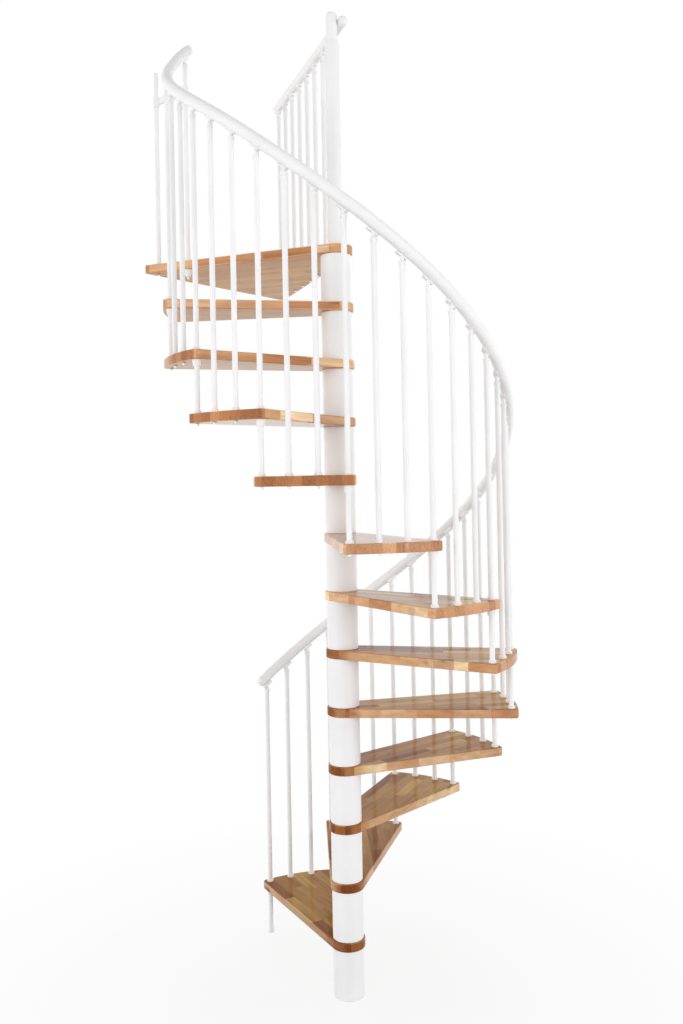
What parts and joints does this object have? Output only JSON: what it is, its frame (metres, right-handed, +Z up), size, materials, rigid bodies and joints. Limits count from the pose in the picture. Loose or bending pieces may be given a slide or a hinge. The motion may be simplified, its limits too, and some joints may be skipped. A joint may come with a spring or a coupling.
{
  "type": "spiral staircase",
  "caption": "Spiral staircase with wedge-shaped wooden treads on a white steel column, white balusters under a coiled round handrail, and a wooden landing with its own rail.",
  "frame": {"origin": "on the floor at the column's axis, on the underside of the base plate", "axes": "+Z up along the column; +X to the right and +Y away as the picture shows the stair; it climbs clockwise seen from above"},
  "size_m": [1.5376, 1.6945, 4.006],
  "materials": {
    "white_metal": "satin white powder coat",
    "white_rail": "satin white rail cover",
    "stave_wood": "finger-jointed staves under clear lacquer"
  },
  "bodies": {
    "root": {"base_plate": "white_metal", "centre_pole": "white_metal", "landing_post": "white_metal", "spacer_01": "white_metal", "spacer_02": "white_metal", "spacer_03": "white_metal", "spacer_04": "white_metal", "spacer_05": "white_metal", "spacer_06": "white_metal", "spacer_07": "white_metal", "spacer_08": "white_metal", "spacer_09": "white_metal", "spacer_10": "white_metal", "spacer_11": "white_metal", "spacer_12": "white_metal", "spacer_13": "white_metal", "first_baluster": "white_metal", "end_baluster": "white_metal", "landing_balusters": "white_metal", "corner_baluster": "white_metal", "corner_brace": "white_metal", "balusters_01_02": "white_metal", "balusters_03_04": "white_metal", "balusters_05_06": "white_metal", "balusters_07_08": "white_metal", "balusters_09_10": "white_metal", "balusters_11_12": "white_metal", "handrail_1": "white_rail", "handrail_2": "white_rail", "handrail_3": "white_rail", "handrail_4": "white_rail", "landing_rail": "white_rail", "tread_01": "stave_wood", "tread_02": "stave_wood", "tread_03": "stave_wood", "tread_04": "stave_wood", "tread_05": "stave_wood", "tread_06": "stave_wood", "tread_07": "stave_wood", "tread_08": "stave_wood", "tread_09": "stave_wood", "tread_10": "stave_wood", "tread_11": "stave_wood", "tread_12": "stave_wood", "landing": "stave_wood"}
  },
  "joints": []
}
